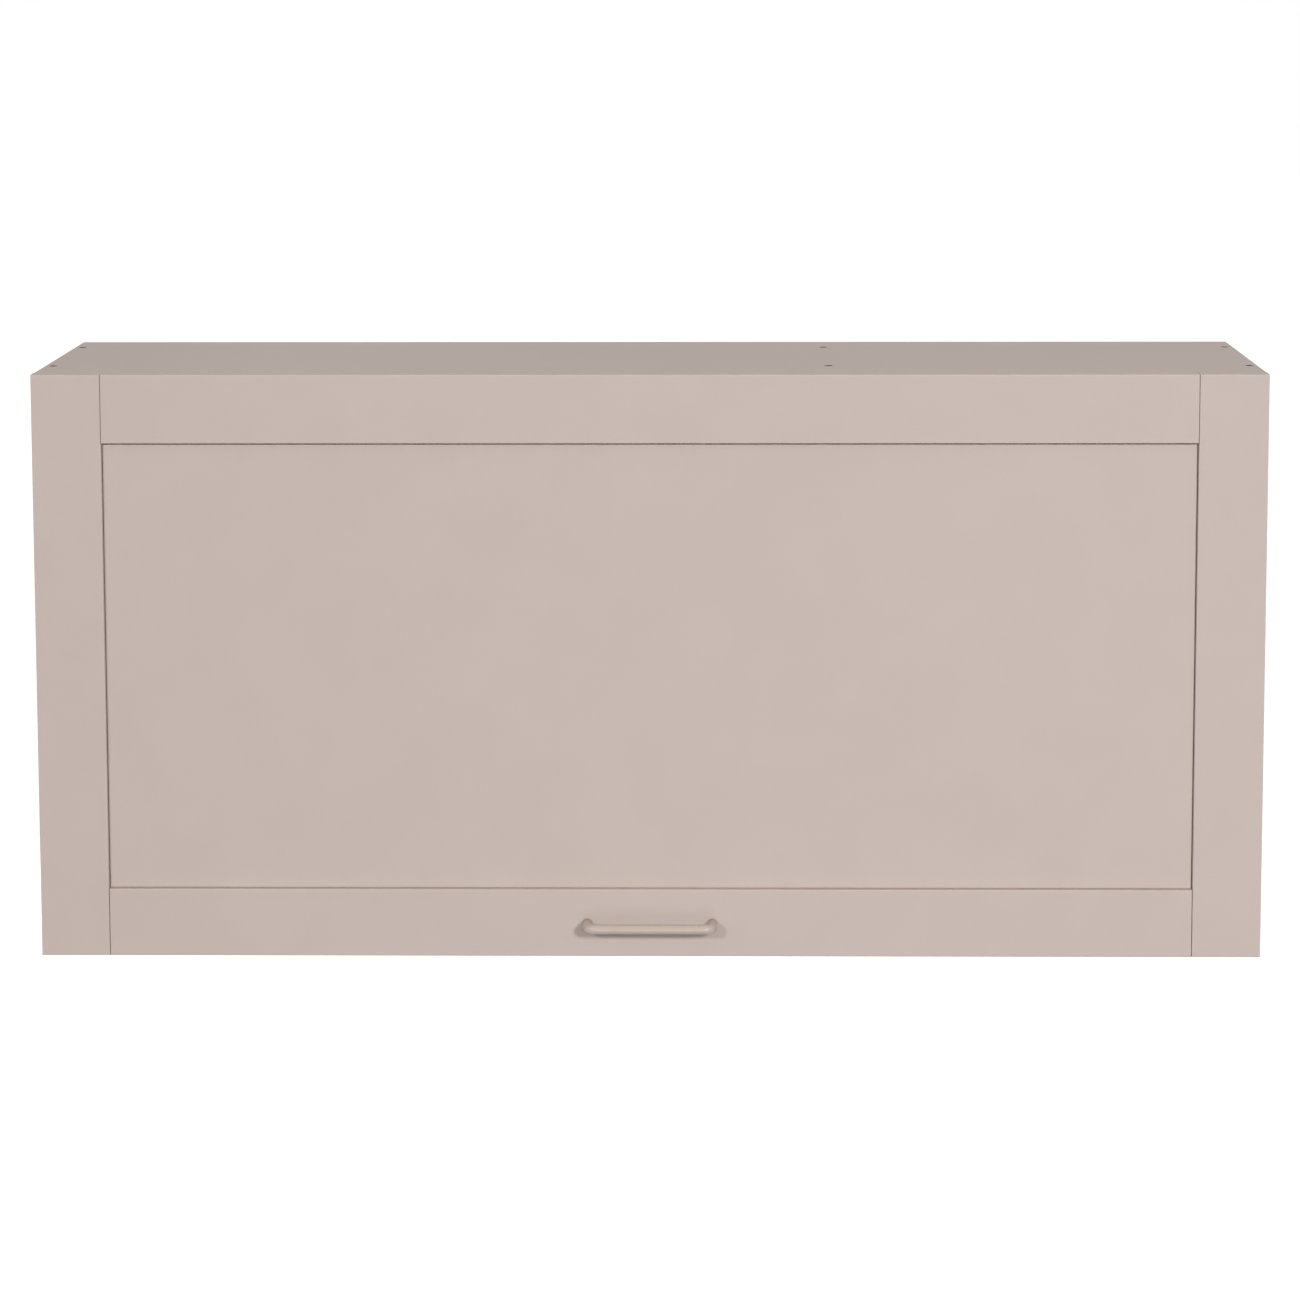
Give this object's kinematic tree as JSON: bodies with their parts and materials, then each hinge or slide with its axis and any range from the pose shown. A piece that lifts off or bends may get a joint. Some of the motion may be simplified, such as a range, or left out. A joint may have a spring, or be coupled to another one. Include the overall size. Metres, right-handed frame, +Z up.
{
  "type": "lift up wall cabinet",
  "caption": "Wide wall cabinet with a fixed face frame and one full-width flap that lifts on top pivots and two spring stays, opened by a bow handle.",
  "frame": {"origin": "middle of the wall rail's back face, on the wall plane, 70 mm below the cabinet's top and 530 mm above its underside", "axes": "+X to the right as seen from the room, +Y towards the wall, +Z up; the front of the cabinet faces -Y"},
  "size_m": [1.25, 0.382, 0.6],
  "materials": {
    "greige_paint": "satin greige paint on board",
    "painted_back": "hardboard, painted on the inside and bare towards the wall",
    "handle_paint": "glossy greige powder coat",
    "dark_steel": "dark phosphated screws",
    "zinc_steel": "zinc-plated steel",
    "grey_plastic": "moulded grey plastic",
    "nylon": "natural nylon",
    "clear_rubber": "soft clear bumper pads"
  },
  "bodies": {
    "cabinet": {"back_panel": "painted_back", "bottom_board": "greige_paint", "bottom_screw_divider_back": "dark_steel", "bottom_screw_divider_front": "dark_steel", "bottom_screw_left_back": "dark_steel", "bottom_screw_left_front": "dark_steel", "bottom_screw_right_back": "dark_steel", "bottom_screw_right_front": "dark_steel", "bumper_left": "clear_rubber", "bumper_right": "clear_rubber", "divider": "greige_paint", "hanger_left": "zinc_steel", "hanger_right": "zinc_steel", "packing_block_left": "greige_paint", "packing_block_right": "greige_paint", "pivot_pin_left": "zinc_steel", "pivot_pin_right": "zinc_steel", "shelf_narrow": "greige_paint", "shelf_pin_narrow_left_back": "zinc_steel", "shelf_pin_narrow_left_front": "zinc_steel", "shelf_pin_narrow_right_back": "zinc_steel", "shelf_pin_narrow_right_front": "zinc_steel", "shelf_pin_wide_left_back": "zinc_steel", "shelf_pin_wide_left_front": "zinc_steel", "shelf_pin_wide_right_back": "zinc_steel", "shelf_pin_wide_right_front": "zinc_steel", "shelf_wide": "greige_paint", "side_left": "greige_paint", "side_right": "greige_paint", "stay_cover_left": "grey_plastic", "stay_cover_right": "grey_plastic", "stay_housing_left": "zinc_steel", "stay_housing_right": "zinc_steel", "stile_left": "greige_paint", "stile_right": "greige_paint", "top_board": "greige_paint", "top_rail": "greige_paint", "top_screw_divider_back": "dark_steel", "top_screw_divider_front": "dark_steel", "top_screw_left_back": "dark_steel", "top_screw_left_front": "dark_steel", "top_screw_right_back": "dark_steel", "top_screw_right_front": "dark_steel", "wall_rail": "zinc_steel"},
    "flap": {"flap_bracket_left": "zinc_steel", "flap_bracket_right": "zinc_steel", "flap_panel": "greige_paint", "flap_rail": "greige_paint", "handle": "handle_paint", "handle_screw_left": "zinc_steel", "handle_screw_right": "zinc_steel", "pivot_bush_left": "nylon", "pivot_bush_right": "nylon"},
    "arm_left": {"stay_arm_left": "zinc_steel", "stay_rivet_left": "zinc_steel"},
    "link_left": {"stay_link_left": "zinc_steel"},
    "arm_right": {"stay_arm_right": "zinc_steel", "stay_rivet_right": "zinc_steel"},
    "link_right": {"stay_link_right": "zinc_steel"}
  },
  "joints": [
    {"name": "flap_hinge", "type": "hinge", "parent": "cabinet", "child": "flap", "pos_m": [0, -0.334, -0.03004], "axis": [-1, 0, 0], "range_deg": [0, 100]},
    {"name": "arm_pivot_left", "type": "hinge", "parent": "cabinet", "child": "arm_left", "pos_m": [-0.5331, -0.254, -0.11004], "axis": [-1, 0, 0], "range_deg": [0, 100]},
    {"name": "link_pivot_left", "type": "hinge", "parent": "arm_left", "child": "link_left", "pos_m": [-0.5295, -0.233, -0.20804], "axis": [-1, 0, 0], "range_deg": [-100, 0]},
    {"name": "arm_pivot_right", "type": "hinge", "parent": "cabinet", "child": "arm_right", "pos_m": [0.5331, -0.254, -0.11004], "axis": [-1, 0, 0], "range_deg": [0, 100]},
    {"name": "link_pivot_right", "type": "hinge", "parent": "arm_right", "child": "link_right", "pos_m": [0.5295, -0.233, -0.20804], "axis": [-1, 0, 0], "range_deg": [-100, 0]}
  ],
  "couplings": [
    {"joint": "arm_pivot_left", "follows": "flap_hinge", "ratio": 1},
    {"joint": "link_pivot_left", "follows": "flap_hinge", "ratio": -1},
    {"joint": "arm_pivot_right", "follows": "flap_hinge", "ratio": 1},
    {"joint": "link_pivot_right", "follows": "flap_hinge", "ratio": -1}
  ]
}
